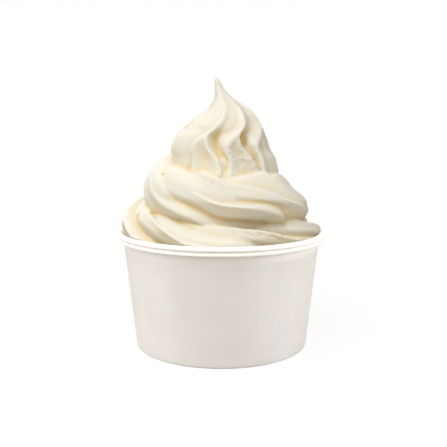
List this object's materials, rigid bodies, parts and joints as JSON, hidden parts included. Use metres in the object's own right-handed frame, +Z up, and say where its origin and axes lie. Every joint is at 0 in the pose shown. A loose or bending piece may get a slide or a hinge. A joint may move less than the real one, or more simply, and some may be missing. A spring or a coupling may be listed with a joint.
{
  "type": "ice cream cup",
  "caption": "Plain white paper dessert cup with a rolled rim, filled with a tall clockwise swirl of vanilla soft serve.",
  "frame": {"origin": "centre of the cup's foot, on the surface it stands on", "axes": "+Z up towards the swirl's tip, -Y towards the shown front, +X to the viewer's right"},
  "size_m": [0.096, 0.096, 0.1214],
  "materials": {
    "cup_paper": "coated white paperboard, satin",
    "base_paper": "coated white paperboard, satin",
    "soft_serve": "creamy vanilla soft serve, soft satin sheen"
  },
  "bodies": {
    "root": {"cup_wall": "cup_paper", "cup_base": "base_paper", "ice_cream": "soft_serve"}
  },
  "joints": []
}
